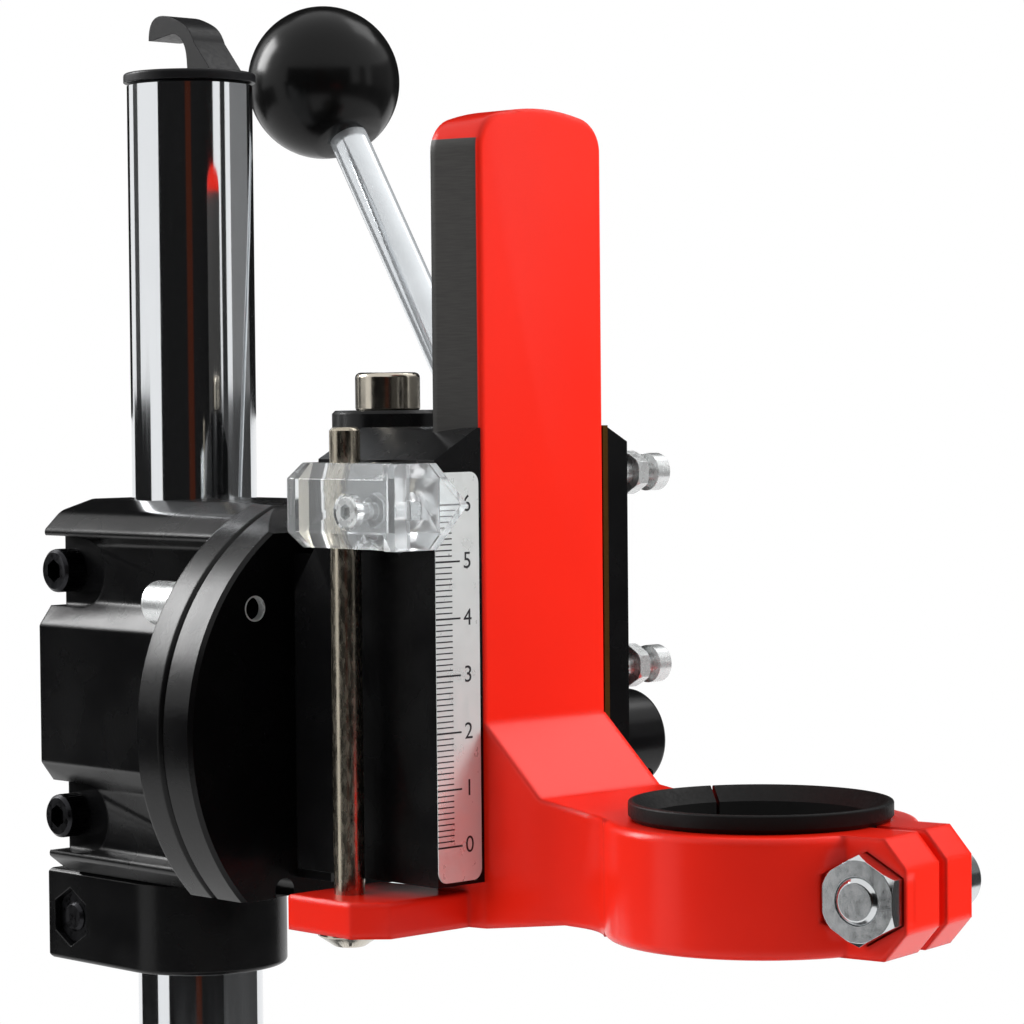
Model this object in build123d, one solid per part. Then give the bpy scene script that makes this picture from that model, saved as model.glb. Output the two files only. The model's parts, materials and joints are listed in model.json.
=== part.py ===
from build123d import *
import math
import os

os.makedirs("parts", exist_ok=True)

# Drill stand, in millimetres. The column's axis is the Z axis, the bench is Z = 0, the operator is at -Y.
# The head is built where the feed is fully up. Heights on the head count from the zero mark of its scale.

# Fits
overrun = 2.0
running_gap = 0.05
face_gap = 0.3
edge_break = 0.6
screw_tip_share = 0.2
nut_rounding_share = 0.8

# Base casting
base_width = 170.0
base_length = 250.0
base_rear_overhang = 40.0
base_height = 20.0
base_corner_radius = 20.0
base_wall = 9.0
base_top_thickness = 11.0
base_rib_thickness = 7.0
base_edge_fillet = 3.0
boss_radius = 24.0
boss_height = 64.0
boss_rib_reach = 34.0
boss_rib_thickness = 9.0
socket_floor = 3.1
bench_hole_radius = 4.5
bench_hole_inset = 15.0
table_hole_radius = 12.0
table_slot_width = 9.0
table_slot_length = 42.0
table_slot_spacing = 100.0
set_screw_radius = 4.0
set_screw_length = 16.0
set_screw_heights = (32.0, 50.0)
set_screw_key = 4.0

# Column and its cap
column_radius = 12.5
column_wall = 2.5
column_length = 400.0
cap_flange_radius = 13.15
cap_flange_thickness = 1.9
cap_plug_length = 14.0
cap_plug_wall = 1.6
hook_width = 8.0
hook_front = 12.0
hook_inner = 4.4
hook_rise = 10.3
hook_reach = 8.0
hook_tip_drop = 3.4
hook_strap = 2.6
hook_bend_share = 0.45
hook_outer_share = 0.8
hook_crown_share = 0.5
hook_tip_share = 0.6
hook_under_share = 0.4

# Where the head stands on the column
column_above_mark = 141.6

# Support collar under the head
collar_half_width = 17.5
collar_rear = 27.2
collar_top_height = -16.2
collar_depth = 18.4
collar_split = 3.0
collar_screw_rear = 20.0
collar_screw_radius = 3.0
collar_screw_head_radius = 5.0
collar_screw_head_length = 6.0
collar_screw_key = 5.0
collar_screw_drop = 9.5
collar_nut_flats = 10.0
collar_nut_thickness = 4.2
collar_nut_sunk = 1.4

# Clamp block that grips the column, with the fixed swivel disc
block_top_height = 58.8
block_bottom_height = -16.0
block_middle_height = 20.3
block_top_flat = 12.0
block_bottom_flat = 19.0
block_shoulder_half_width = 20.0
block_shoulder_height = 56.6
block_ridge_half_width = 24.6
block_ridge_rise = 32.1
block_groove_half_width = 22.0
block_groove_outer_rise = 30.2
block_groove_inner_rise = 18.4
block_bulge_half_width = 25.6
block_bulge_rise = 13.7
block_rear = 17.8
block_split = 3.0
block_fillet = 1.0
block_shoulder_fillet = 5.0
block_screw_rise = 24.5
block_screw_rear = 15.0
block_screw_face = -24.0
block_screw_radius = 2.5
block_screw_reach = 21.0
block_screw_head_radius = 4.25
block_screw_head_length = 5.0
block_screw_key = 4.0
block_pocket_front = 1.0
block_pocket_half_height = 7.0

# Swivel discs
disc_radius = 45.0
disc_axis_height = 17.2
disc_bottom_height = -13.5
disc_rear = -38.2
disc_joint = -46.0
disc_joint_gap = 0.1
disc_front = -54.4
disc_chamfer = 0.7
pivot_shoulder_radius = 6.0
pivot_thread_radius = 5.0
pivot_thread_length = 16.0
pivot_head_radius = 9.0
pivot_head_length = 5.0
pivot_key = 8.0
index_pin_side = -29.4
index_pin_height = 40.3
index_pin_radius = 2.2
index_knob_radius = 4.2
index_knob_length = 9.6
index_knob_stand_off = 3.4
index_hole_chamfer = 0.5
index_turns = (0.0, 90.0)

# Guide housing
neck_half_width = 20.0
neck_top_height = 50.0
neck_bottom_height = -10.0
disc_top_front_height = 53.9
housing_half_width = 26.3
housing_rear = -62.0
housing_front = -100.0
housing_bottom_height = -7.0
housing_waist_height = 44.0
housing_shoulder_height = 52.0
housing_knee_y = -68.0
housing_knee_radius = 3.0
housing_shoulder_y = -69.5
housing_edge_height = 67.8
housing_crown_height = 73.3
housing_crown_half_width = 16.0
housing_front_chamfer = 4.6
top_boss_y = -58.5
top_boss_radius = 10.5
top_boss_height = 76.3
top_screw_radius = 4.0
top_screw_head_radius = 6.1
top_screw_head_length = 7.1
top_screw_length = 22.0
top_screw_key = 6.0

# Slide with its dovetail
slide_front = -100.3
slide_back = -90.2
slide_front_half_width = 15.06
slide_back_half_width = 17.5
slide_bottom_height = -15.3
slide_crown_height = 130.0
slide_crown_rise = 3.6
slide_crown_corner = 6.0
slide_edge_fillet = 0.8
slide_corner_share = 0.9

# Arm and drill collar
drill_axis_y = -152.0
ring_radius = 26.6
ring_bore_radius = 21.5
ring_top_height = 7.3
ring_bottom_height = -12.6
ring_fillet = 1.2
neck_flare_radius = 14.0
ramp_top_height = 21.0
ramp_foot_height = 8.8
ramp_foot_y = -114.0
arm_rear_depth = 6.0
arm_bottom_foot_y = -120.0
ear_turn = 11.0
ear_near_side = 12.5
ear_far_side = 10.0
ear_end = 34.5
ear_slot = 2.6
ear_chamfer_length = 4.0
ear_chamfer_height = 4.7
neck_bolt_reach = 27.4
neck_bolt_height = -2.65
neck_bolt_radius = 4.0
neck_bolt_head_radius = 5.5
neck_bolt_head_length = 7.2
neck_bolt_key = 6.0
neck_bolt_proud = 0.6
neck_nut_flats = 13.0
neck_nut_thickness = 6.5
neck_nut_sunk = 3.0
fastener_gap = 0.2

# Reducing sleeve
sleeve_bore_radius = 19.0
sleeve_flange_radius = 22.4
sleeve_flange_thickness = 3.2
sleeve_lead_in = 2.6
sleeve_rim_fillet = 0.4
sleeve_undercut = 0.8
sleeve_slit = 0.6
sleeve_slit_turn = 155.0

# Lug, depth rod and pointer
lug_side = -39.5
lug_rear = -75.0
lug_front = -96.6
lug_top_height = -9.0
lug_corner = 5.0
lug_root_x = -18.0
rod_x = -31.6
rod_y = -82.5
rod_radius = 2.75
rod_top_height = 73.6
rod_screw_radius = 1.6
rod_screw_depth = 8.0
rod_screw_head_radius = 5.7
rod_screw_head_length = 3.0
pointer_bottom_height = 52.4
pointer_top_height = 67.4
pointer_outer = -39.0
pointer_inner = -26.8
pointer_rear = -73.6
pointer_plate_back = -100.9
pointer_plate_front = -103.8
pointer_shoulder_x = -26.4
pointer_tip_x = -21.8
pointer_tip_height = 60.0
pointer_corner = 2.8
pointer_groove_y = -78.0
pointer_groove_width = 0.9
pointer_groove_depth = 4.0
pointer_slit = 0.8
pointer_slit_end_share = 0.775
pointer_screw_y = -91.0
pointer_screw_height = 59.0
pointer_screw_radius = 1.5
pointer_screw_head_radius = 3.1
pointer_screw_head_length = 2.6
pointer_screw_key = 2.5
pointer_nut_flats = 5.5
pointer_nut_thickness = 2.4

# Scale
scale_left = -26.3
scale_right = -16.0
scale_bottom_height = -6.3
scale_top_height = 65.6
scale_thickness = 0.2
scale_corner = 2.0

# Gib
gib_thickness = 1.3
gib_screw_y = -95.0
gib_screw_heights = (28.5, 64.4)
gib_screw_radius = 2.0
gib_screw_end_x = 35.3
gib_screw_head_radius = 3.5
gib_screw_head_length = 3.7
gib_screw_key = 2.6
gib_nut_flats = 7.0
gib_nut_thickness = 2.7

# Rack and pinion
gear_module = 1.5
pinion_teeth = 16
pressure_angle = 20.0
gear_backlash = 0.16
pinion_addendum_share = 0.92
rack_addendum_share = 0.88
dedendum_share = 1.25
flank_points = 5
pinion_width = 14.0
pinion_y = -73.5
pinion_height = 12.0
pinion_bore_radius = 14.2
rack_width = 10.0
rack_seat = 2.0
rack_bottom_height = 0.0
rack_top_height = 84.0
rack_screw_radius = 1.6
rack_screw_head_radius = 2.9
rack_screw_head_length = 1.8
rack_screw_key = 2.5
rack_screw_length = 9.0
rack_screw_inset = 4.5
pinion_room = 0.8

# Shaft and lever
shaft_radius = 6.0
shaft_left_x = -20.0
bush_flange_radius = 16.5
bush_flange_thickness = 1.6
bush_inner_x = 7.8
hub_radius = 9.5
hub_inner_x = 28.3
hub_outer_x = 50.0
hub_fillet = 1.6
lever_x = 45.0
lever_rod_radius = 4.0
ball_y = 11.4
ball_height = 145.1
ball_radius = 16.0
ball_recess_radius = 7.0
ball_recess_depth = 1.6
ball_thread_depth = 12.0
rod_tail = 8.0
hub_screw_x = 34.0
hub_screw_radius = 2.5
hub_screw_key = 2.5

# Derived places
column_top = socket_floor + column_length
mark_zero = column_top - column_above_mark
module_pitch = math.pi * gear_module
pinion_radius = gear_module * pinion_teeth / 2
slide_depth = slide_back - slide_front
rack_pitch_y = pinion_y - pinion_radius
rack_root_y = rack_pitch_y - dedendum_share * gear_module
pinion_tip_radius = pinion_radius + pinion_addendum_share * gear_module
pinion_root_radius = pinion_radius - dedendum_share * gear_module
rack_tip_y = rack_pitch_y + rack_addendum_share * gear_module
flank_slope = (slide_back_half_width - slide_front_half_width) / slide_depth
base_front = base_rear_overhang - base_length
base_centre_y = (base_rear_overhang + base_front) / 2
disc_centre = mark_zero + disc_axis_height
pinion_z = mark_zero + pinion_height
lever_angle = math.atan2(ball_y - pinion_y, ball_height - pinion_height)
lever_length = math.hypot(ball_y - pinion_y, ball_height - pinion_height)


def up(height):
    return mark_zero + height


def box_between(x_low, x_high, y_low, y_high, z_low, z_high):
    centre = Pos((x_low + x_high) / 2, (y_low + y_high) / 2, (z_low + z_high) / 2)
    return centre * Box(x_high - x_low, y_high - y_low, z_high - z_low)


def rod_along_x(radius, x_low, x_high, y, z):
    return Pos((x_low + x_high) / 2, y, z) * Rot(0, 90, 0) * Cylinder(radius, x_high - x_low)


def rod_along_y(radius, y_low, y_high, x, z):
    return Pos(x, (y_low + y_high) / 2, z) * Rot(90, 0, 0) * Cylinder(radius, y_high - y_low)


def rod_along_z(radius, z_low, z_high, x, y):
    return Pos(x, y, (z_low + z_high) / 2) * Cylinder(radius, z_high - z_low)


def outline_face(points):
    return make_face(Polyline(*points, close=True))


def prism_along_x(points, x_low, x_high):
    # points are (y, z) pairs
    wire = [(x_low, y, z) for y, z in points]
    return extrude(outline_face(wire), amount=x_high - x_low, dir=(1, 0, 0))


def prism_along_y(points, y_low, y_high):
    # points are (x, z) pairs
    wire = [(x, y_low, z) for x, z in points]
    return extrude(outline_face(wire), amount=y_high - y_low, dir=(0, 1, 0))


def prism_along_z(points, z_low, z_high):
    # points are (x, y) pairs
    wire = [(x, y, z_low) for x, y in points]
    return extrude(outline_face(wire), amount=z_high - z_low, dir=(0, 0, 1))


def hexagon_prism(flats, length):
    # stands on the XY plane, corners on the X axis
    return extrude(RegularPolygon(flats / 2, 6, major_radius=False), amount=length)


def cap_screw(radius, length, head_radius, head_length, key_flats):
    # the head is above Z = 0 and the shank below it
    profile = Cylinder(head_radius, head_length, align=(Align.CENTER, Align.CENTER, Align.MIN))
    profile = chamfer(profile.edges().group_by(Axis.Z)[-1], min(edge_break, head_length / 4))
    shank = Cylinder(radius, length, align=(Align.CENTER, Align.CENTER, Align.MAX))
    shank = chamfer(shank.edges().group_by(Axis.Z)[0], radius * screw_tip_share)
    key = Pos(0, 0, head_length / 2) * hexagon_prism(key_flats, head_length)
    return profile + shank - key


def hex_nut(flats, thickness, bore_radius):
    corner_radius = flats / math.sqrt(3)
    blank = hexagon_prism(flats, thickness)
    rounding = Cylinder(corner_radius, thickness, align=(Align.CENTER, Align.CENTER, Align.MIN))
    cut = (corner_radius - flats / 2) * nut_rounding_share
    rounding = chamfer(rounding.edges().filter_by(GeomType.CIRCLE), cut)
    bore = Pos(0, 0, thickness / 2) * Cylinder(bore_radius, thickness + overrun)
    return (blank & rounding) - bore


def pointing_x(side, x, y, z):
    # turns a screw drawn along Z so that its head looks to side (+1 or -1) along X
    return Pos(x, y, z) * Rot(0, 90 * side, 0)


def make_base_plate():
    plate = Box(base_width, base_length, base_height, align=(Align.CENTER, Align.CENTER, Align.MIN))
    plate = Pos(0, base_centre_y, 0) * plate
    plate = fillet(plate.edges().filter_by(Axis.Z), base_corner_radius)
    plate = fillet(plate.edges().group_by(Axis.Z)[-1], base_edge_fillet)
    cavity = box_between(
        base_wall - base_width / 2, base_width / 2 - base_wall,
        base_front + base_wall, base_rear_overhang - base_wall,
        -overrun, base_height - base_top_thickness)
    cavity = fillet(cavity.edges().filter_by(Axis.Z), base_corner_radius - base_wall)
    for y in (drill_axis_y / 2, drill_axis_y - table_slot_spacing / 4):
        cavity -= box_between(-base_width / 2, base_width / 2, y - base_rib_thickness / 2,
                              y + base_rib_thickness / 2, -overrun, base_height)
    cavity -= box_between(-base_rib_thickness / 2, base_rib_thickness / 2, base_front, base_rear_overhang,
                          -overrun, base_height)
    cavity -= rod_along_z(boss_radius, -overrun, base_height, 0, 0)
    cavity -= rod_along_z(table_hole_radius + base_wall, -overrun, base_height, 0, drill_axis_y)
    for x, y in bench_hole_places():
        cavity -= rod_along_z(bench_hole_radius + base_wall, -overrun, base_height, x, y)
    boss = rod_along_z(boss_radius, 0, boss_height, 0, 0)
    boss = chamfer(boss.edges().group_by(Axis.Z)[-1], edge_break * 2)
    rib_points = [(0, base_height - overrun), (-boss_radius - boss_rib_reach, base_height - overrun),
                  (-boss_radius, boss_height - boss_rib_thickness), (0, boss_height - boss_rib_thickness)]
    rib = prism_along_x(rib_points, -boss_rib_thickness / 2, boss_rib_thickness / 2)
    side_points = [(-y, z) for y, z in rib_points]
    side_reach = (base_width / 2 - base_edge_fillet) / (boss_radius + boss_rib_reach)
    side_points = [(min(y, y * side_reach), z) for y, z in side_points]
    base = plate - cavity + boss + rib
    for side in (-1, 1):
        points = [(side * x, z) for x, z in side_points]
        base += prism_along_y(points, -boss_rib_thickness / 2, boss_rib_thickness / 2)
    base -= rod_along_z(column_radius + running_gap, socket_floor, boss_height + overrun, 0, 0)
    for x, y in bench_hole_places():
        base -= rod_along_z(bench_hole_radius, -overrun, base_height + overrun, x, y)
    base -= rod_along_z(table_hole_radius, -overrun, base_height + overrun, 0, drill_axis_y)
    slot = SlotOverall(table_slot_length, table_slot_width)
    for side in (-1, 1):
        place = Pos(side * table_slot_spacing / 2, drill_axis_y, -overrun)
        base -= place * extrude(slot, amount=base_height + overrun * 2)
    for height in set_screw_heights:
        base -= rod_along_y(set_screw_radius, 0, boss_radius + overrun, 0, height)
    return base


def bench_hole_places():
    side = base_width / 2 - bench_hole_inset
    rear = base_rear_overhang - bench_hole_inset
    front = base_front + bench_hole_inset
    return [(x, y) for x in (-side, side) for y in (rear, front)]


def make_base_set_screws():
    screws = []
    for height in set_screw_heights:
        tip = column_radius + running_gap
        screw = rod_along_y(set_screw_radius, tip, tip + set_screw_length, 0, height)
        screw = chamfer(screw.edges().group_by(Axis.Y)[0], edge_break)
        key = hexagon_prism(set_screw_key, set_screw_length / 2 + overrun)
        screws.append(screw - Pos(0, tip + set_screw_length + overrun, height) * Rot(90, 0, 0) * key)
    return Compound(children=screws)


def make_column():
    tube = rod_along_z(column_radius, socket_floor, column_top, 0, 0)
    tube -= rod_along_z(column_radius - column_wall, socket_floor - overrun, column_top + overrun, 0, 0)
    return chamfer(tube.edges().group_by(Axis.Z)[-1].sort_by(SortBy.LENGTH)[-1:], edge_break)


def make_column_cap():
    flange_top = column_top + cap_flange_thickness
    flange = rod_along_z(cap_flange_radius, column_top, flange_top, 0, 0)
    flange = fillet(flange.edges().group_by(Axis.Z)[-1], edge_break)
    plug_radius = column_radius - column_wall - running_gap
    plug = rod_along_z(plug_radius, column_top - cap_plug_length, column_top, 0, 0)
    plug -= rod_along_z(plug_radius - cap_plug_wall, column_top - cap_plug_length - overrun,
                        column_top, 0, 0)
    crown = flange_top + hook_rise
    root = flange_top - edge_break
    knee = crown - hook_rise * hook_bend_share
    outer_knee = (-hook_inner - hook_strap * hook_outer_share, knee)
    inner_knee = (-hook_inner + hook_strap * hook_crown_share, knee)
    tip = (hook_reach, crown - hook_tip_drop)
    tip_inside = (hook_reach - hook_strap * hook_tip_share, crown - hook_tip_drop)
    throat = (hook_strap * hook_under_share, crown - hook_strap)
    outer = Polyline((-hook_front, root), outer_knee)
    lower = Polyline(tip, tip_inside, throat)
    over = Spline(outer_knee, (-hook_strap * hook_crown_share, crown), tip, tangents=((0.45, 1), (0, -1)))
    under = Spline(throat, inner_knee, (-hook_inner, root), tangents=((-1, 0.1), (-0.1, -1)))
    foot = Line((-hook_inner, root), (-hook_front, root))
    side = make_face(Curve() + [outer, over, lower, under, foot])
    hook = Pos(-hook_width / 2, 0, 0) * extrude(Plane.YZ * side, amount=hook_width)
    return flange + plug + hook


def collar_nut_seat():
    return collar_nut_sunk + collar_nut_thickness - collar_half_width


def make_support_collar():
    top = up(collar_top_height)
    bottom = top - collar_depth
    body = rod_along_z(collar_half_width, bottom, top, 0, 0)
    body += box_between(-collar_half_width, collar_half_width, 0, collar_rear, bottom, top)
    body = chamfer(body.edges().group_by(Axis.Z)[-1], edge_break)
    body = chamfer(body.edges().group_by(Axis.Z)[0], edge_break)
    body -= rod_along_z(column_radius + running_gap, bottom - overrun, top + overrun, 0, 0)
    body -= box_between(-collar_split / 2, collar_split / 2, 0, collar_rear + overrun,
                        bottom - overrun, top + overrun)
    height = top - collar_screw_drop
    body -= rod_along_x(collar_screw_radius + fastener_gap, -collar_half_width - overrun,
                        collar_half_width + overrun, collar_screw_rear, height)
    pocket = hexagon_prism(collar_nut_flats + fastener_gap, collar_nut_thickness + overrun)
    body -= pointing_x(-1, collar_nut_seat(), collar_screw_rear, height) * pocket
    body -= rod_along_x(collar_screw_head_radius + fastener_gap, collar_half_width - collar_screw_head_length,
                        collar_half_width + overrun, collar_screw_rear, height)
    return body


def make_support_collar_screw():
    height = up(collar_top_height) - collar_screw_drop
    seat = collar_half_width - collar_screw_head_length
    length = seat + collar_half_width - edge_break
    screw = cap_screw(collar_screw_radius, length, collar_screw_head_radius, collar_screw_head_length,
                      collar_screw_key)
    return pointing_x(1, seat, collar_screw_rear, height) * screw


def make_support_collar_nut():
    height = up(collar_top_height) - collar_screw_drop
    nut = hex_nut(collar_nut_flats, collar_nut_thickness, collar_screw_radius)
    return pointing_x(-1, collar_nut_seat(), collar_screw_rear, height) * nut


def block_side_points():
    # one flank of the clamp block from the top down: ridge, groove, bulge, groove, ridge
    middle = up(block_middle_height)
    return [
        (block_top_flat, up(block_top_height)),
        (block_shoulder_half_width, up(block_shoulder_height)),
        (block_ridge_half_width, middle + block_ridge_rise),
        (block_groove_half_width, middle + block_groove_outer_rise),
        (block_groove_half_width, middle + block_groove_inner_rise),
        (block_bulge_half_width, middle + block_bulge_rise),
        (block_bulge_half_width, middle - block_bulge_rise),
        (block_groove_half_width, middle - block_groove_inner_rise),
        (block_groove_half_width, middle - block_groove_outer_rise),
        (block_ridge_half_width, middle - block_ridge_rise),
        (block_bottom_flat, up(block_bottom_height)),
    ]


def block_screw_heights():
    middle = up(block_middle_height)
    return (middle - block_screw_rise, middle + block_screw_rise)


def swivel_disc(y_low, y_high):
    disc = rod_along_y(disc_radius, y_low, y_high, 0, disc_centre)
    disc &= box_between(-disc_radius, disc_radius, y_low, y_high,
                        up(disc_bottom_height), up(block_top_height))
    rims = [e for e in disc.edges() if e.geom_type == GeomType.CIRCLE]
    return chamfer(rims, disc_chamfer)


def clamp_screw_seat():
    return block_screw_face + block_screw_head_length


def make_clamp_block():
    right = block_side_points()
    left = [(-x, z) for x, z in reversed(right)]
    body = prism_along_y(right + left, disc_rear - overrun, block_rear)
    long_edges = body.edges().filter_by(Axis.Y)
    flanks = [e for e in long_edges if abs(e.center().X) > block_shoulder_half_width + edge_break]
    body = fillet(flanks, block_fillet)
    rounded = (block_top_flat, block_shoulder_half_width, block_bottom_flat)
    shoulders = [e for e in body.edges().filter_by(Axis.Y)
                 if min(abs(abs(e.center().X) - place) for place in rounded) < edge_break / 2]
    body = fillet(shoulders, block_shoulder_fillet)
    body += swivel_disc(disc_joint + disc_joint_gap, disc_rear)
    low = up(block_bottom_height) - overrun
    high = up(block_top_height) + overrun
    body -= rod_along_z(column_radius + running_gap, low, high, 0, 0)
    body -= box_between(-block_split / 2, block_split / 2, 0, block_rear + overrun, low, high)
    seat = clamp_screw_seat()
    for z in block_screw_heights():
        body -= rod_along_x(block_screw_radius + fastener_gap, seat - overrun, 0, block_screw_rear, z)
        body -= rod_along_x(block_screw_radius, 0, block_bulge_half_width, block_screw_rear, z)
        pocket = box_between(-block_bulge_half_width - overrun, seat,
                             block_pocket_front + block_pocket_half_height, block_rear + overrun,
                             z - block_pocket_half_height, z + block_pocket_half_height)
        pocket += rod_along_x(block_pocket_half_height, -block_bulge_half_width - overrun, seat,
                              block_pocket_front + block_pocket_half_height, z)
        body -= pocket
    body -= rod_along_y(pivot_thread_radius, disc_joint - overrun, disc_joint + pivot_thread_length,
                        0, disc_centre)
    body -= rod_along_y(index_pin_radius + running_gap, disc_joint - overrun, disc_rear + overrun,
                        index_pin_side, up(index_pin_height))
    return body


def make_clamp_screws():
    seat = clamp_screw_seat()
    screws = []
    for z in block_screw_heights():
        screw = cap_screw(block_screw_radius, block_screw_reach - seat,
                          block_screw_head_radius, block_screw_head_length, block_screw_key)
        screws.append(pointing_x(-1, seat, block_screw_rear, z) * screw)
    return Compound(children=screws)


def make_index_pin():
    # drawn pulled back: the pin's tip is level with the joint between the discs
    shoulder = disc_rear + index_knob_stand_off
    z = up(index_pin_height)
    pin = rod_along_y(index_pin_radius, disc_joint, shoulder + overrun, index_pin_side, z)
    pin = chamfer(pin.edges().group_by(Axis.Y)[0], index_hole_chamfer)
    knob = rod_along_y(index_knob_radius, shoulder, shoulder + index_knob_length, index_pin_side, z)
    knob = chamfer(knob.edges().filter_by(GeomType.CIRCLE), edge_break)
    return pin + knob


def pivot_seat_y():
    return pinion_y + pinion_bore_radius + face_gap + pivot_head_length


def make_tilt_pivot_bolt():
    seat = pivot_seat_y()
    shoulder_end = disc_joint + disc_joint_gap
    head = rod_along_y(pivot_head_radius, seat - pivot_head_length, seat - running_gap, 0, disc_centre)
    head = chamfer(head.edges().group_by(Axis.Y)[0], edge_break)
    shank = rod_along_y(pivot_shoulder_radius, seat - running_gap, shoulder_end, 0, disc_centre)
    thread = rod_along_y(pivot_thread_radius, shoulder_end, disc_joint + pivot_thread_length, 0, disc_centre)
    key = Pos(0, seat - pivot_head_length / 2, disc_centre) * Rot(90, 0, 0)
    return head + shank + thread - key * hexagon_prism(pivot_key, pivot_head_length)


def dovetail_points(grow_left, grow_right, back_room, front_room):
    # seen from above: the narrow side of the dovetail is the front
    front = slide_front - front_room
    back = slide_back + back_room
    front_half = slide_front_half_width - flank_slope * front_room
    back_half = slide_back_half_width + flank_slope * back_room
    return [(-front_half - grow_left, front), (-back_half - grow_left, back),
            (back_half + grow_right, back), (front_half + grow_right, front)]


def housing_side_points():
    bottom = up(housing_bottom_height)
    return [(housing_rear, bottom), (housing_rear, up(housing_waist_height)),
            (housing_knee_y, up(housing_shoulder_height)), (housing_shoulder_y, up(housing_crown_height)),
            (housing_front, up(housing_crown_height)), (housing_front, bottom)]


def make_housing_body():
    bottom = up(housing_bottom_height)
    body = prism_along_x(housing_side_points(), -housing_half_width, housing_half_width)
    knees = [e for e in body.edges().filter_by(Axis.X) if e.center().Y > housing_shoulder_y + edge_break
             and e.center().Z > up(housing_waist_height) - edge_break]
    body = fillet(knees, housing_knee_radius)
    crown = [(-housing_half_width, bottom), (-housing_half_width, up(housing_edge_height)),
             (-housing_crown_half_width, up(housing_crown_height)),
             (housing_crown_half_width, up(housing_crown_height)),
             (housing_half_width, up(housing_edge_height)), (housing_half_width, bottom)]
    body &= prism_along_y(crown, housing_front - overrun, housing_rear + overrun)
    corner = housing_front_chamfer
    wedge = [(housing_half_width - corner, housing_front), (housing_half_width, housing_front + corner),
             (housing_half_width + corner, housing_front)]
    return body - prism_along_z(wedge, bottom - overrun, up(housing_crown_height) + overrun)


def make_front_disc():
    disc = swivel_disc(disc_front, disc_joint - disc_joint_gap)
    above = up(block_top_height) + overrun
    slope = [(disc_joint, up(block_top_height)), (disc_front, up(disc_top_front_height)),
             (disc_front - overrun, up(disc_top_front_height)), (disc_front - overrun, above),
             (disc_joint, above)]
    return disc - prism_along_x(slope, -disc_radius, disc_radius)


def index_hole_places():
    # the holes that come level with the pin when the head is upright and when it lies on its side
    across = index_pin_side
    rise = index_pin_height - disc_axis_height
    places = []
    for turn in index_turns:
        angle = math.radians(turn)
        places.append((across * math.cos(angle) - rise * math.sin(angle),
                       disc_centre + across * math.sin(angle) + rise * math.cos(angle)))
    return places


def make_guide_housing():
    top = up(max(top_boss_height, housing_crown_height)) + overrun
    body = make_housing_body() + make_front_disc()
    body += box_between(-neck_half_width, neck_half_width, housing_rear - overrun, disc_front + overrun,
                        up(neck_bottom_height), up(neck_top_height))
    boss = rod_along_z(top_boss_radius, up(housing_waist_height), up(top_boss_height), 0, top_boss_y)
    body += chamfer(boss.edges().group_by(Axis.Z)[-1], edge_break)
    channel = dovetail_points(running_gap, running_gap + gib_thickness, running_gap, overrun)
    body -= prism_along_z(channel, up(neck_bottom_height) - overrun, top)
    rack_room = rack_width / 2 + pinion_room
    body -= box_between(-rack_room, rack_room, slide_back - overrun, rack_tip_y + pinion_room,
                        up(neck_bottom_height) - overrun, top)
    body -= rod_along_x(pinion_bore_radius, -pinion_width / 2 - face_gap,
                        housing_half_width + overrun, pinion_y, pinion_z)
    body -= rod_along_x(shaft_radius + running_gap, shaft_left_x - face_gap, 0, pinion_y, pinion_z)
    body -= rod_along_y(pivot_shoulder_radius + running_gap, pivot_seat_y() - overrun,
                        disc_joint + overrun, 0, disc_centre)
    body -= rod_along_y(pivot_head_radius + fastener_gap, slide_back - overrun, pivot_seat_y(),
                        0, disc_centre)
    for x, z in index_hole_places():
        body -= rod_along_y(index_pin_radius + running_gap, disc_front - overrun, disc_joint + overrun, x, z)
    for height in gib_screw_heights:
        body -= rod_along_x(gib_screw_radius, slide_front_half_width, housing_half_width + overrun,
                            gib_screw_y, up(height))
    body -= rod_along_z(top_screw_radius, up(top_boss_height) - top_screw_length, top, 0, top_boss_y)
    return body


def make_pinion_bush():
    barrel = rod_along_x(pinion_bore_radius, bush_inner_x, housing_half_width, pinion_y, pinion_z)
    flange = rod_along_x(bush_flange_radius, housing_half_width, housing_half_width + bush_flange_thickness,
                         pinion_y, pinion_z)
    flange = chamfer(flange.edges().group_by(Axis.X)[-1], edge_break)
    return barrel + flange - rod_along_x(shaft_radius + running_gap, 0, hub_inner_x, pinion_y, pinion_z)


def make_gib_strip():
    front_half = slide_front_half_width + running_gap
    back_half = slide_back_half_width + running_gap
    points = [(front_half, slide_front), (back_half, slide_back),
              (back_half + gib_thickness - running_gap, slide_back),
              (front_half + gib_thickness - running_gap, slide_front)]
    strip = prism_along_z(points, up(housing_bottom_height), up(housing_crown_height))
    return strip


def gib_face_x():
    # the gib's outer face where the adjusting screws press on it
    reach = slide_front_half_width + (gib_screw_y - slide_front) * flank_slope
    return reach + gib_thickness + gib_screw_radius * flank_slope


def make_gib_screws():
    screws = []
    head_seat = gib_screw_end_x - gib_screw_head_length
    for height in gib_screw_heights:
        screw = cap_screw(gib_screw_radius, head_seat - gib_face_x(), gib_screw_head_radius,
                          gib_screw_head_length, gib_screw_key)
        screws.append(pointing_x(1, head_seat, gib_screw_y, up(height)) * screw)
    return Compound(children=screws)


def make_gib_locknuts():
    nuts = []
    for height in gib_screw_heights:
        nut = hex_nut(gib_nut_flats, gib_nut_thickness, gib_screw_radius)
        nuts.append(pointing_x(1, housing_half_width, gib_screw_y, up(height)) * nut)
    return Compound(children=nuts)


def make_scale_plate():
    plate = box_between(scale_left, scale_right, housing_front - scale_thickness, housing_front,
                        up(scale_bottom_height), up(scale_top_height))
    return fillet(plate.edges().filter_by(Axis.Y), scale_corner)


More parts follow.
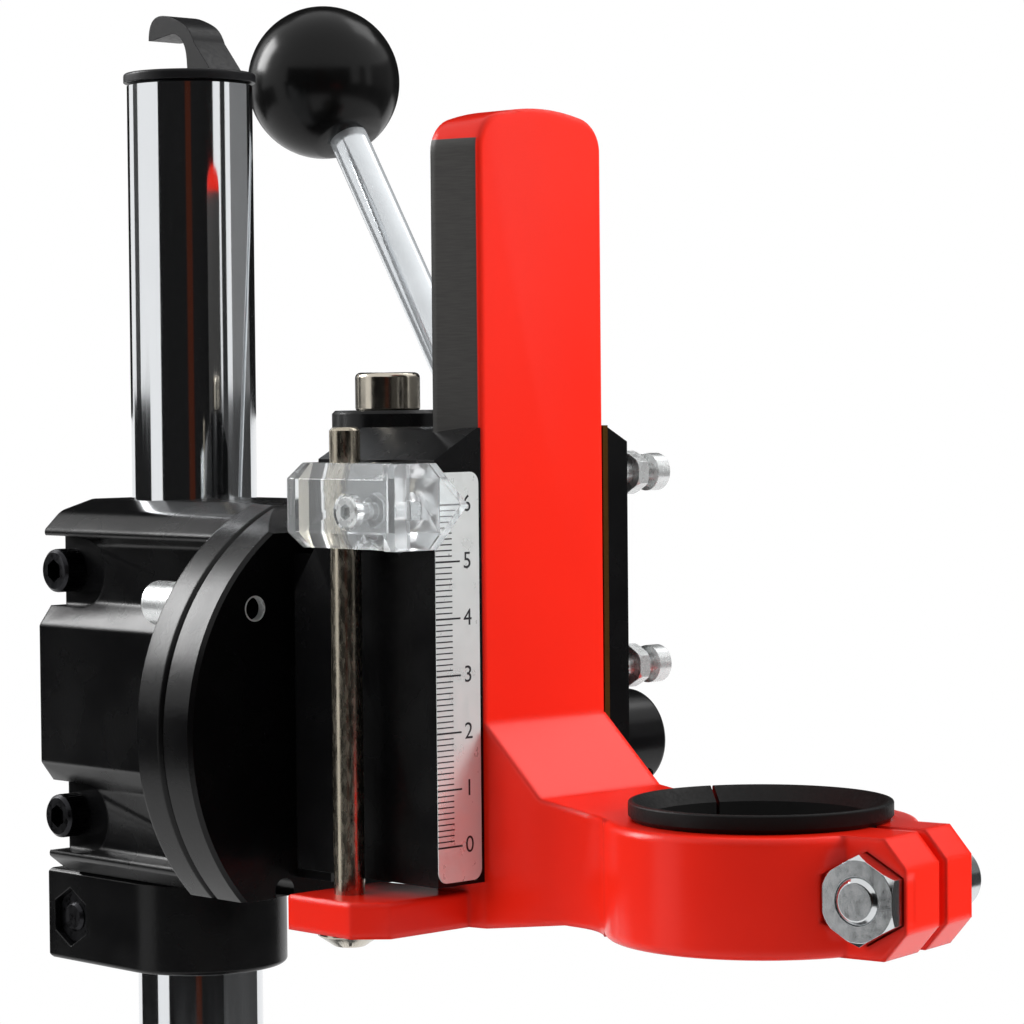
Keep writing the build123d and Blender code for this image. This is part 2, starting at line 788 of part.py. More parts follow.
def make_top_screw():
    screw = cap_screw(top_screw_radius, top_screw_length, top_screw_head_radius, top_screw_head_length,
                      top_screw_key)
    return Pos(0, top_boss_y, up(top_boss_height)) * screw


def make_slide_bar():
    shoulder = up(slide_crown_height) - slide_crown_rise
    bar = prism_along_z(dovetail_points(0, 0, 0, 0), up(slide_bottom_height), up(slide_crown_height))
    half = slide_back_half_width
    crown = Polyline((half, shoulder), (half, up(slide_bottom_height) - overrun),
                     (-half, up(slide_bottom_height) - overrun), (-half, shoulder))
    arch = ThreePointArc((-half, shoulder), (0, up(slide_crown_height)), (half, shoulder))
    face = make_face(Curve() + [crown, arch])
    mask = Pos(0, slide_back + overrun, 0) * extrude(Plane.XZ * face, amount=slide_depth + overrun * 2)
    bar &= mask
    corners = [e for e in bar.edges() if abs(e.center().X) > slide_front_half_width - edge_break
               and e.center().Z > shoulder - slide_crown_rise
               and abs(e.tangent_at(0.5).Y) > slide_corner_share]
    bar = fillet(corners, slide_crown_corner)
    front_edges = [e for e in bar.edges() if e.center().Y < slide_front + edge_break / 2
                   and e.center().Z > up(slide_bottom_height) + overrun]
    return fillet(front_edges, slide_edge_fillet)


def make_arm():
    rear = slide_front + arm_rear_depth
    arm_top_foot_y = drill_axis_y + ring_radius
    points = [(rear, up(slide_bottom_height)), (slide_front, up(slide_bottom_height)),
              (arm_bottom_foot_y, up(ring_bottom_height)), (drill_axis_y, up(ring_bottom_height)),
              (drill_axis_y, up(ring_top_height)), (arm_top_foot_y, up(ring_top_height)),
              (ramp_foot_y, up(ramp_foot_height)), (slide_front, up(ramp_top_height)),
              (rear, up(ramp_top_height))]
    return prism_along_x(points, -slide_front_half_width, slide_front_half_width)


def make_collar_arm():
    ring = rod_along_z(ring_radius, up(ring_bottom_height), up(ring_top_height), 0, drill_axis_y)
    ring = fillet(ring.edges().filter_by(GeomType.CIRCLE), ring_fillet)
    # concave flares join the neck's sides to the ring without a corner
    flare_y = drill_axis_y + math.sqrt((ring_radius + neck_flare_radius) ** 2
                                       - (slide_front_half_width + neck_flare_radius) ** 2)
    touch = ring_radius / (ring_radius + neck_flare_radius)
    low = up(ring_bottom_height)
    high = up(ring_top_height)
    body = make_arm() + ring
    for side in (-1, 1):
        centre_x = side * (slide_front_half_width + neck_flare_radius)
        touch_y = drill_axis_y + (flare_y - drill_axis_y) * touch
        points = [(0, drill_axis_y), (centre_x * touch, touch_y), (centre_x, flare_y),
                  (side * slide_front_half_width, flare_y), (0, flare_y)]
        web = prism_along_z(points, low, high)
        body += web - rod_along_z(neck_flare_radius, low - overrun, high + overrun, centre_x, flare_y)
    return body


def beside_ring(shape):
    # shapes are drawn round the drill axis with the ears along -Y, then turned into place
    return Pos(0, drill_axis_y, 0) * Rot(0, 0, ear_turn) * shape


def make_ears():
    top = up(ring_top_height)
    bottom = up(ring_bottom_height)
    points = [(-ring_bore_radius / 2, bottom), (-ring_bore_radius / 2, top),
              (ear_chamfer_length - ear_end, top), (-ear_end, top - ear_chamfer_height),
              (-ear_end, bottom + ear_chamfer_height), (ear_chamfer_length - ear_end, bottom)]
    return beside_ring(prism_along_x(points, -ear_near_side, ear_far_side))


def cut_ears(body):
    body -= beside_ring(box_between(-ear_slot / 2, ear_slot / 2, -ear_end - overrun, 0,
                                    up(slide_bottom_height) - overrun, up(ring_top_height) + overrun))
    z = up(neck_bolt_height)
    body -= beside_ring(rod_along_x(neck_bolt_radius + fastener_gap, -ear_near_side - overrun,
                                    ear_far_side + overrun, -neck_bolt_reach, z))
    body -= beside_ring(rod_along_x(neck_bolt_head_radius + fastener_gap, ear_far_side, ring_radius,
                                    -neck_bolt_reach, z))
    pocket = hexagon_prism(neck_nut_flats + fastener_gap * 2, ring_radius)
    place = pointing_x(-1, neck_nut_sunk - ear_near_side, -neck_bolt_reach, z)
    return body - beside_ring(place * pocket)


def make_lug():
    inner = slide_front_half_width - edge_break
    points = [(-inner, lug_front), (lug_side + lug_corner, lug_front), (lug_side, lug_front + lug_corner),
              (lug_side, lug_rear), (lug_root_x, lug_rear), (-inner, slide_back)]
    lug = prism_along_z(points, up(slide_bottom_height), up(lug_top_height))
    return fillet(lug.edges().group_by(Axis.Z)[-1], edge_break)


def make_slide_casting():
    bottom = up(slide_bottom_height) - overrun
    body = make_slide_bar() + make_collar_arm() + make_ears() + make_lug()
    body -= rod_along_z(ring_bore_radius, bottom, up(ring_top_height) + overrun, 0, drill_axis_y)
    body = cut_ears(body)
    seat = rack_width / 2 + running_gap
    body -= box_between(-seat, seat, slide_back - rack_seat, slide_back + overrun,
                        up(rack_bottom_height), up(rack_top_height))
    for z in rack_screw_places():
        body -= rod_along_y(rack_screw_radius, rack_root_y - rack_screw_length, slide_back + overrun, 0, z)
    body -= rod_along_z(rod_screw_radius, bottom, up(lug_top_height) + overrun, rod_x, rod_y)
    return body


def rack_screw_places():
    return (up(rack_bottom_height + rack_screw_inset), up(rack_top_height - rack_screw_inset))


def make_feed_rack():
    # teeth face the pinion, a gap between two teeth lies level with the pinion's axis
    half_pitch = (module_pitch / 2 - gear_backlash) / 2
    slope = math.tan(math.radians(pressure_angle))
    tip_half = half_pitch - (rack_tip_y - rack_pitch_y) * slope
    root_half = half_pitch + (rack_pitch_y - rack_root_y) * slope
    low = up(rack_bottom_height)
    high = up(rack_top_height)
    bar = box_between(-rack_width / 2, rack_width / 2, slide_back - rack_seat, rack_root_y, low, high)
    first = math.ceil((low + rack_screw_inset * 2 - pinion_z) / module_pitch)
    last = math.floor((high - rack_screw_inset * 2 - pinion_z) / module_pitch)
    inside = rack_root_y - rack_seat / 2
    for index in range(first, last):
        z = pinion_z + (index + 1 / 2) * module_pitch
        tooth = [(inside, z - root_half), (rack_root_y, z - root_half), (rack_tip_y, z - tip_half),
                 (rack_tip_y, z + tip_half), (rack_root_y, z + root_half), (inside, z + root_half)]
        bar += prism_along_x(tooth, -rack_width / 2, rack_width / 2)
    for z in rack_screw_places():
        bar -= rod_along_y(rack_screw_radius + fastener_gap, slide_back - rack_seat - overrun,
                           rack_root_y + overrun, 0, z)
        bar -= rod_along_y(rack_screw_head_radius + fastener_gap, rack_root_y - rack_screw_head_length,
                           rack_root_y + overrun, 0, z)
    return bar


def make_rack_screws():
    screws = []
    for z in rack_screw_places():
        screw = cap_screw(rack_screw_radius, rack_screw_length - rack_screw_head_length,
                          rack_screw_head_radius, rack_screw_head_length, rack_screw_key)
        seat = rack_root_y - rack_screw_head_length
        screws.append(Pos(0, seat, z) * Rot(-90, 0, 0) * screw)
    return Compound(children=screws)


def make_reducing_sleeve():
    top = up(ring_top_height) + sleeve_flange_thickness
    wall = rod_along_z(ring_bore_radius - running_gap, up(ring_bottom_height), top, 0, drill_axis_y)
    flange = rod_along_z(sleeve_flange_radius, up(ring_top_height), top, 0, drill_axis_y)
    flange = fillet(flange.edges().group_by(Axis.Z)[-1], sleeve_rim_fillet)
    flange = chamfer(flange.edges().group_by(Axis.Z)[0], sleeve_undercut)
    bore = rod_along_z(sleeve_bore_radius, up(ring_bottom_height) - overrun, top + overrun, 0, drill_axis_y)
    sleeve = wall + flange - bore
    mouth = [e for e in sleeve.edges().filter_by(GeomType.CIRCLE)
             if e.center().Z > top - edge_break / 2 and e.radius < sleeve_bore_radius + running_gap]
    sleeve = chamfer(mouth, sleeve_lead_in)
    slit = box_between(-sleeve_slit / 2, sleeve_slit / 2, -ring_radius, 0,
                       up(ring_bottom_height) - overrun, top + overrun)
    return sleeve - Pos(0, drill_axis_y, 0) * Rot(0, 0, sleeve_slit_turn) * slit


def make_neck_clamp_bolt():
    end = ear_near_side - neck_nut_sunk + neck_nut_thickness + neck_bolt_proud
    bolt = cap_screw(neck_bolt_radius, ear_far_side + end, neck_bolt_head_radius, neck_bolt_head_length,
                     neck_bolt_key)
    return beside_ring(pointing_x(1, ear_far_side, -neck_bolt_reach, up(neck_bolt_height)) * bolt)


def make_neck_clamp_nut():
    nut = hex_nut(neck_nut_flats, neck_nut_thickness, neck_bolt_radius)
    place = pointing_x(-1, neck_nut_sunk - ear_near_side, -neck_bolt_reach, up(neck_bolt_height))
    return beside_ring(place * nut)


def make_depth_rod():
    rod = rod_along_z(rod_radius, up(lug_top_height), up(rod_top_height), rod_x, rod_y)
    rod = chamfer(rod.edges().group_by(Axis.Z)[-1], edge_break)
    return rod - rod_along_z(rod_screw_radius, up(lug_top_height) - overrun,
                             up(lug_top_height) + rod_screw_depth, rod_x, rod_y)


def make_depth_rod_screw():
    head_bottom = up(slide_bottom_height) - rod_screw_head_length
    shank = rod_along_z(rod_screw_radius, head_bottom, up(lug_top_height) + rod_screw_depth, rod_x, rod_y)
    rim = rod_screw_head_length / 3
    head = rod_along_z(rod_screw_head_radius, head_bottom, up(slide_bottom_height), rod_x, rod_y)
    head = chamfer(head.edges().group_by(Axis.Z)[0], rod_screw_head_length - rim, rod_screw_head_length)
    return shank + head


def make_pointer_clamp():
    low = up(pointer_bottom_height)
    high = up(pointer_top_height)
    body = box_between(pointer_outer, pointer_inner, pointer_plate_front, pointer_rear, low, high)
    body = fillet(body.edges().filter_by(Axis.Z).group_by(Axis.Y)[-1], pointer_corner)
    body = chamfer(body.edges().filter_by(Axis.Y).group_by(Axis.X)[-1], pointer_corner)
    plate = [(pointer_outer, low), (pointer_shoulder_x - pointer_corner, low),
             (pointer_shoulder_x, low + pointer_corner), (pointer_tip_x, up(pointer_tip_height)),
             (pointer_shoulder_x, high - pointer_corner), (pointer_shoulder_x - pointer_corner, high),
             (pointer_outer, high)]
    body += prism_along_y(plate, pointer_plate_front, pointer_plate_back)
    body -= rod_along_z(rod_radius + running_gap, low - overrun, high + overrun, rod_x, rod_y)
    slit_end = rod_y + (pointer_plate_back - rod_y) * pointer_slit_end_share
    body -= box_between(rod_x - pointer_slit / 2, rod_x + pointer_slit / 2, slit_end, rod_y,
                        low - overrun, high + overrun)
    groove_back = pointer_groove_y + pointer_groove_width / 2
    body -= box_between(pointer_outer - overrun, pointer_outer + pointer_groove_depth,
                        groove_back - pointer_groove_width, groove_back, low - overrun, high + overrun)
    screw_z = up(pointer_screw_height)
    body -= rod_along_x(pointer_screw_radius + running_gap, pointer_outer - overrun,
                        pointer_inner + overrun, pointer_screw_y, screw_z)
    body -= rod_along_x(pointer_screw_head_radius + running_gap, pointer_outer - overrun,
                        pointer_outer + pointer_screw_head_length, pointer_screw_y, screw_z)
    pocket = hexagon_prism(pointer_nut_flats + running_gap * 2, pointer_nut_thickness + overrun)
    body -= pointing_x(1, pointer_inner - pointer_nut_thickness, pointer_screw_y, screw_z) * pocket
    return body


def make_pointer_screw():
    seat = pointer_outer + pointer_screw_head_length
    screw = cap_screw(pointer_screw_radius, pointer_inner - seat, pointer_screw_head_radius,
                      pointer_screw_head_length, pointer_screw_key)
    return pointing_x(-1, seat, pointer_screw_y, up(pointer_screw_height)) * screw


def make_pointer_nut():
    nut = hex_nut(pointer_nut_flats, pointer_nut_thickness, pointer_screw_radius)
    place = pointing_x(1, pointer_inner - pointer_nut_thickness, pointer_screw_y, up(pointer_screw_height))
    return place * nut


def involute(angle):
    return math.tan(angle) - angle


def tooth_flank():
    # (radius, half angle) pairs from the base circle to the tip
    alpha = math.radians(pressure_angle)
    base_radius = pinion_radius * math.cos(alpha)
    half = (module_pitch / 2 - gear_backlash) / (2 * pinion_radius)
    pairs = []
    for step in range(flank_points + 1):
        radius = base_radius + (pinion_tip_radius - base_radius) * step / flank_points
        turn = math.acos(min(1, base_radius / radius))
        pairs.append((radius, half + involute(alpha) - involute(turn)))
    return pairs


def make_pinion_shaft():
    # the outline is drawn in the YZ plane, the first tooth points at the rack
    points = []
    flank = tooth_flank()
    for tooth in range(pinion_teeth):
        centre = math.pi + tooth * 2 * math.pi / pinion_teeth
        side = [(pinion_root_radius, flank[0][1])] + flank
        for radius, half in side:
            points.append((radius, centre - half))
        for radius, half in reversed(side):
            points.append((radius, centre + half))
    outline = [(pinion_y + r * math.cos(a), pinion_z + r * math.sin(a)) for r, a in points]
    gear = prism_along_x(outline, -pinion_width / 2, pinion_width / 2)
    shaft = rod_along_x(shaft_radius, shaft_left_x, hub_outer_x, pinion_y, pinion_z)
    shaft = chamfer(shaft.edges().group_by(Axis.X)[-1], edge_break)
    shaft -= lever_direction() * Cylinder(lever_rod_radius, hub_radius * 3)
    return gear + shaft


def lever_direction():
    return Pos(lever_x, pinion_y, pinion_z) * Rot(-math.degrees(lever_angle), 0, 0)


def make_lever_hub():
    hub = rod_along_x(hub_radius, hub_inner_x, hub_outer_x, pinion_y, pinion_z)
    hub = fillet(hub.edges().filter_by(GeomType.CIRCLE), hub_fillet)
    hub -= rod_along_x(shaft_radius, hub_inner_x - overrun, hub_outer_x + overrun, pinion_y, pinion_z)
    hub -= lever_direction() * Cylinder(lever_rod_radius, hub_radius * 3)
    reach = Cylinder(hub_screw_radius, hub_radius * 2, align=(Align.CENTER, Align.CENTER, Align.MIN))
    return hub - hub_screw_place() * reach


def hub_screw_place():
    return Pos(hub_screw_x, pinion_y, pinion_z) * Rot(90 - math.degrees(lever_angle), 0, 0)


def make_hub_set_screw():
    length = hub_radius - edge_break - shaft_radius
    screw = Pos(0, 0, shaft_radius + length / 2) * Cylinder(hub_screw_radius, length)
    key = Pos(0, 0, shaft_radius + length / 2) * hexagon_prism(hub_screw_key, length)
    return hub_screw_place() * (screw - key)


def make_lever_rod():
    length = rod_tail + lever_length - ball_radius + ball_thread_depth
    rod = Cylinder(lever_rod_radius, length, align=(Align.CENTER, Align.CENTER, Align.MIN))
    rod = chamfer(rod.edges().filter_by(GeomType.CIRCLE), edge_break)
    return lever_direction() * Pos(0, 0, -rod_tail) * rod


def make_ball_knob():
    ball = Sphere(ball_radius)
    ball -= Pos(0, 0, -ball_radius) * Cylinder(ball_recess_radius, ball_recess_depth * 2)
    ball -= Pos(0, 0, -ball_radius) * Cylinder(lever_rod_radius, ball_thread_depth * 2)
    return lever_direction() * Pos(0, 0, lever_length) * ball


nodes = {
    "base_plate": make_base_plate,
    "base_set_screws": make_base_set_screws,
    "column": make_column,
    "column_cap": make_column_cap,
    "support_collar": make_support_collar,
    "support_collar_screw": make_support_collar_screw,
    "support_collar_nut": make_support_collar_nut,
    "clamp_block": make_clamp_block,
    "clamp_screws": make_clamp_screws,
    "index_pin": make_index_pin,
    "tilt_pivot_bolt": make_tilt_pivot_bolt,
    "guide_housing": make_guide_housing,
    "gib_strip": make_gib_strip,
    "gib_screws": make_gib_screws,
    "gib_locknuts": make_gib_locknuts,
    "scale_plate": make_scale_plate,
    "top_screw": make_top_screw,
    "slide_casting": make_slide_casting,
    "feed_rack": make_feed_rack,
    "rack_screws": make_rack_screws,
    "reducing_sleeve": make_reducing_sleeve,
    "neck_clamp_bolt": make_neck_clamp_bolt,
    "neck_clamp_nut": make_neck_clamp_nut,
    "depth_rod": make_depth_rod,
    "depth_rod_screw": make_depth_rod_screw,
    "pointer_clamp": make_pointer_clamp,
    "pointer_screw": make_pointer_screw,
    "pointer_nut": make_pointer_nut,
    "pinion_shaft": make_pinion_shaft,
    "pinion_bush": make_pinion_bush,
    "lever_hub": make_lever_hub,
    "hub_set_screw": make_hub_set_screw,
    "lever_rod": make_lever_rod,
    "ball_knob": make_ball_knob,
}

for name, make in nodes.items():
    shape = make()
    export_step(shape, f"parts/{name}.step")
    print(name, len(shape.solids()), round(shape.volume), shape.bounding_box())
print("mark zero", mark_zero, "pinion", pinion_y, pinion_z, "disc centre", disc_centre)
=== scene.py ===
import json
import math

import bmesh
import bpy
from mathutils import Matrix, Vector

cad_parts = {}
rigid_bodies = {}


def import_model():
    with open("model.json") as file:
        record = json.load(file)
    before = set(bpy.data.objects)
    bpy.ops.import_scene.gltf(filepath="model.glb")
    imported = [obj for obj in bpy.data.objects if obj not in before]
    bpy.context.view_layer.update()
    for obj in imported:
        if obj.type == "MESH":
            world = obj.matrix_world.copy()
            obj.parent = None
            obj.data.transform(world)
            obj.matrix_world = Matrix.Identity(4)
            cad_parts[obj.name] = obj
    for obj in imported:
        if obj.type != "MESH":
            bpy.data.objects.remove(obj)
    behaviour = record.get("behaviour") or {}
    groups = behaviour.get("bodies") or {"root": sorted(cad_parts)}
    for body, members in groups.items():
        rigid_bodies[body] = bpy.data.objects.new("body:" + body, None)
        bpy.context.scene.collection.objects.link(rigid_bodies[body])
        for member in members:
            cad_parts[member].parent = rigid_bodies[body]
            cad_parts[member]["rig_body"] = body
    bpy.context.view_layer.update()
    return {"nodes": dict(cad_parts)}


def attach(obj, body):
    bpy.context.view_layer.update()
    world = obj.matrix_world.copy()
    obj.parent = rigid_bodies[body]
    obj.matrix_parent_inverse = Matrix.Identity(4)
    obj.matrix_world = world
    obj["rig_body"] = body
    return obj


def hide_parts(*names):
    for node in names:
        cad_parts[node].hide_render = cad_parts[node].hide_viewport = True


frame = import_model()
nodes = frame["nodes"]
markZero = 0.2615  # height of the scale's zero mark above the bench
print("frame loaded:", len(nodes), "nodes")


# materials

def startMaterial(name):
    material = bpy.data.materials.new(name)
    material.use_nodes = True
    tree = material.node_tree
    shader = tree.nodes["Principled BSDF"]
    coords = tree.nodes.new("ShaderNodeTexCoord")
    return material, tree, shader, coords


def addNoise(tree, coords, scale, detail=3.0, stretch=(1, 1, 1)):
    mapping = tree.nodes.new("ShaderNodeMapping")
    mapping.inputs["Scale"].default_value = stretch
    noiseTexture = tree.nodes.new("ShaderNodeTexNoise")
    noiseTexture.inputs["Scale"].default_value = scale
    noiseTexture.inputs["Detail"].default_value = detail
    tree.links.new(coords.outputs["Object"], mapping.inputs["Vector"])
    tree.links.new(mapping.outputs["Vector"], noiseTexture.inputs["Vector"])
    return noiseTexture


def addRamp(tree, source, low, high):
    # low and high are (position, value) pairs
    mapRange = tree.nodes.new("ShaderNodeMapRange")
    mapRange.inputs["From Min"].default_value = low[0]
    mapRange.inputs["From Max"].default_value = high[0]
    mapRange.inputs["To Min"].default_value = low[1]
    mapRange.inputs["To Max"].default_value = high[1]
    tree.links.new(source, mapRange.inputs["Value"])
    return mapRange.outputs["Result"]


def addBump(tree, shader, height, strength, distance, under=None):
    bump = tree.nodes.new("ShaderNodeBump")
    bump.inputs["Strength"].default_value = strength
    bump.inputs["Distance"].default_value = distance
    tree.links.new(height, bump.inputs["Height"])
    if under is not None:
        tree.links.new(under, bump.inputs["Normal"])
    tree.links.new(bump.outputs["Normal"], shader.inputs["Normal"])
    return bump.outputs["Normal"]


def mixColours(tree, factor, first, second):
    mix = tree.nodes.new("ShaderNodeMix")
    mix.data_type = "RGBA"
    for socket, value in ((mix.inputs[0], factor), (mix.inputs[6], first), (mix.inputs[7], second)):
        if isinstance(value, bpy.types.NodeSocket):
            tree.links.new(value, socket)
        else:
            socket.default_value = value
    return mix.outputs[2]


def softenEdges(tree, radius):
    # the soft corners of a painted casting
    soften = tree.nodes.new("ShaderNodeBevel")
    soften.samples = 6
    soften.inputs["Radius"].default_value = radius
    return soften.outputs["Normal"]


def castPaint(name, colour, shade, roughness, peel, coat, gloss, softEdge=0.0):
    # paint over a die casting: fine orange peel, faint waviness and uneven gloss
    material, tree, shader, coords = startMaterial(name)
    fine = addNoise(tree, coords, 1400)
    broad = addNoise(tree, coords, 70, 4)
    tree.links.new(mixColours(tree, broad.outputs["Fac"], colour, shade), shader.inputs["Base Color"])
    tree.links.new(addRamp(tree, broad.outputs["Fac"], (0.3, roughness * 0.8), (0.75, roughness * 1.3)),
                   shader.inputs["Roughness"])
    rounded = softenEdges(tree, softEdge) if softEdge > 0 else None
    wavy = addBump(tree, shader, broad.outputs["Fac"], 0.12, 0.0006, rounded)
    addBump(tree, shader, fine.outputs["Fac"], peel, 0.00006, wavy)
    shader.inputs["Coat Weight"].default_value = coat
    shader.inputs["Coat Roughness"].default_value = 0.08
    shader.inputs["Specular IOR Level"].default_value = gloss
    return material


def plainMetal(name, colour, roughness, stretch, streak, bumpStrength=0.15, cloud=0.78):
    # plated or turned metal with streaks along the tool's path
    material, tree, shader, coords = startMaterial(name)
    streaks = addNoise(tree, coords, streak, 4, stretch)
    broad = addNoise(tree, coords, 120, 3)
    dark = tuple(c * cloud for c in colour[:3]) + (1,)
    tree.links.new(mixColours(tree, broad.outputs["Fac"], colour, dark), shader.inputs["Base Color"])
    tree.links.new(addRamp(tree, streaks.outputs["Fac"], (0.3, roughness * 0.7), (0.7, roughness * 1.4)),
                   shader.inputs["Roughness"])
    addBump(tree, shader, streaks.outputs["Fac"], bumpStrength, 0.00004)
    shader.inputs["Metallic"].default_value = 1.0
    return material


def mouldedPlastic(name, colour, roughness, grain, coat=0.0, gloss=0.18):
    material, tree, shader, coords = startMaterial(name)
    fine = addNoise(tree, coords, grain)
    broad = addNoise(tree, coords, 60)
    lighter = tuple(min(1, c * 1.6) for c in colour[:3]) + (1,)
    tree.links.new(mixColours(tree, broad.outputs["Fac"], colour, lighter), shader.inputs["Base Color"])
    tree.links.new(addRamp(tree, fine.outputs["Fac"], (0.3, roughness * 0.85), (0.7, roughness * 1.2)),
                   shader.inputs["Roughness"])
    addBump(tree, shader, fine.outputs["Fac"], 0.1, 0.00005)
    shader.inputs["Coat Weight"].default_value = coat
    shader.inputs["Coat Roughness"].default_value = 0.05
    shader.inputs["Specular IOR Level"].default_value = gloss
    return material


def slidePaint(name, colour, shade, settings):
    # red paint, with the dovetail's flanks and back left bare, milled and oiled
    material, tree, shader, coords = startMaterial(name)
    parts = tree.nodes.new("ShaderNodeSeparateXYZ")
    tree.links.new(coords.outputs["Object"], parts.inputs["Vector"])
    edge = settings["paintEdge"]
    belowArch = addRamp(tree, parts.outputs["Z"], (settings["bareTop"] + edge, 0), (settings["bareTop"], 1))
    aboveFoot = addRamp(tree, parts.outputs["Z"], (settings["bareFoot"] - edge, 0), (settings["bareFoot"], 1))
    front = settings["bareFront"]
    behindFace = addRamp(tree, parts.outputs["Y"], (front - edge, 0), (front, 1))
    onBack = addRamp(tree, parts.outputs["Y"], (settings["back"] - edge, 0), (settings["back"], 1))
    bare = behindFace
    for operation, factor in (("MULTIPLY", belowArch), ("MAXIMUM", onBack), ("MULTIPLY", aboveFoot)):
        joined = tree.nodes.new("ShaderNodeMath")
        joined.operation = operation
        tree.links.new(bare, joined.inputs[0])
        tree.links.new(factor, joined.inputs[1])
        bare = joined.outputs[0]
    milling = addNoise(tree, coords, 260, 3, (1, 1, 14))
    fine = addNoise(tree, coords, 1400)
    broad = addNoise(tree, coords, 60, 4)
    redCoat = mixColours(tree, broad.outputs["Fac"], colour, shade)
    metal = mixColours(tree, milling.outputs["Fac"], settings["milled"], settings["milledLight"])
    tree.links.new(mixColours(tree, bare, redCoat, metal), shader.inputs["Base Color"])
    tree.links.new(addRamp(tree, bare, (0, settings["paintRoughness"]), (1, settings["milledRoughness"])),
                   shader.inputs["Roughness"])
    wavy = addBump(tree, shader, broad.outputs["Fac"], 0.1, 0.0006, softenEdges(tree, settings["softEdge"]))
    grooved = addBump(tree, shader, milling.outputs["Fac"], 0.1, 0.00005, wavy)
    addBump(tree, shader, fine.outputs["Fac"], 0.12, 0.00005, grooved)
    shader.inputs["Specular IOR Level"].default_value = settings["gloss"]
    return material


def clearPlastic(name, settings):
    material, tree, shader, coords = startMaterial(name)
    flow = addNoise(tree, coords, 160, 2, (1, 1, 0.3))
    tree.links.new(addRamp(tree, flow.outputs["Fac"], (0.3, 0.02), (0.8, 0.12)), shader.inputs["Roughness"])
    addBump(tree, shader, flow.outputs["Fac"], 0.2, 0.0002)
    shader.inputs["Base Color"].default_value = settings["colour"]
    shader.inputs["Transmission Weight"].default_value = settings["transmission"]
    shader.inputs["IOR"].default_value = settings["ior"]
    return material


paint = {
    "black": (0.0018, 0.0018, 0.002, 1), "blackShade": (0.0034, 0.0034, 0.0037, 1),
    "red": (0.84, 0.019, 0.007, 1), "redShade": (0.78, 0.016, 0.006, 1),
    "base": (0.014, 0.014, 0.015, 1), "baseShade": (0.025, 0.025, 0.027, 1),
}
slideFinish = {
    # where the paint stops, in metres
    "bareTop": markZero + 0.1242, "bareFoot": markZero + 0.0212, "bareFront": -0.0994, "back": -0.0754,
    "paintEdge": 0.0002, "softEdge": 0.0016, "gloss": 0.28, "paintRoughness": 0.24, "milledRoughness": 0.42,
    "milled": (0.022, 0.021, 0.02, 1), "milledLight": (0.05, 0.048, 0.045, 1),
}
clearFinish = {"colour": (0.93, 0.95, 0.96, 1), "transmission": 0.88, "ior": 1.3}
blockSoftEdge = 0.0008  # the clamp block's corners in the casting

blackPaint = castPaint("blackCastPaint", paint["black"], paint["blackShade"], 0.25, 0.25, 0.0, 0.22)
blockPaint = castPaint("blockCastPaint", paint["black"], paint["blackShade"], 0.25, 0.25, 0.0, 0.22,
                       blockSoftEdge)
basePaint = castPaint("baseHammerPaint", paint["base"], paint["baseShade"], 0.42, 0.5, 0.0, 0.35)
redPaint = slidePaint("redSlidePaint", paint["red"], paint["redShade"], slideFinish)
columnChrome = plainMetal("columnChrome", (0.77, 0.79, 0.81, 1), 0.07, (1, 1, 0.05), 900, 0.03, 0.95)
zincPlate = plainMetal("zincPlate", (0.74, 0.76, 0.77, 1), 0.17, (1, 1, 1), 700)
satinZinc = plainMetal("satinZinc", (0.8, 0.82, 0.82, 1), 0.26, (1, 1, 1), 700, 0.1)
leverZinc = plainMetal("leverZinc", (0.9, 0.94, 0.97, 1), 0.14, (1, 1, 1), 700, 0.05)
rodNickel = plainMetal("rodNickel", (0.5, 0.45, 0.36, 1), 0.24, (1, 1, 0.25), 1500, 0.3)
screwNickel = plainMetal("screwNickel", (0.62, 0.57, 0.48, 1), 0.17, (1, 1, 1), 900)
turnedSteel = plainMetal("turnedSteel", (0.5, 0.5, 0.5, 1), 0.3, (14, 1, 1), 500)
blackOxide = plainMetal("blackOxide", (0.03, 0.03, 0.033, 1), 0.33, (1, 1, 1), 900)
gibBrass = plainMetal("gibBrass", (0.22, 0.1, 0.022, 1), 0.45, (1, 1, 12), 400)
sleevePlastic = mouldedPlastic("sleevePlastic", (0.004, 0.004, 0.004, 1), 0.5, 1500)
capPlastic = mouldedPlastic("capPlastic", (0.005, 0.005, 0.0055, 1), 0.36, 1200)
knobPhenolic = mouldedPlastic("knobPhenolic", (0.003, 0.003, 0.003, 1), 0.21, 300, 0.0, 0.2)
pointerClear = clearPlastic("pointerClear", clearFinish)
scaleFoil = plainMetal("scaleFoil", (0.8, 0.83, 0.82, 1), 0.34, (1, 1, 0.6), 500, 0.0, 0.94)
markInk = mouldedPlastic("markInk", (0.02, 0.02, 0.022, 1), 0.5, 900)

# plates and foil that keep some of their own pale colour
partlyMetal = ((satinZinc, 0.65), (leverZinc, 0.6), (scaleFoil, 0.45))
for material, share in partlyMetal:
    material.node_tree.nodes["Principled BSDF"].inputs["Metallic"].default_value = share
print("materials made")


# pieces from the CAD nodes: merged copies with small rounded edges

def finishPiece(bm, name, body, material):
    mesh = bpy.data.meshes.new(name)
    bm.to_mesh(mesh)
    bm.free()
    piece = bpy.data.objects.new(name, mesh)
    bpy.context.scene.collection.objects.link(piece)
    mesh.materials.append(material)
    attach(piece, body)
    return piece


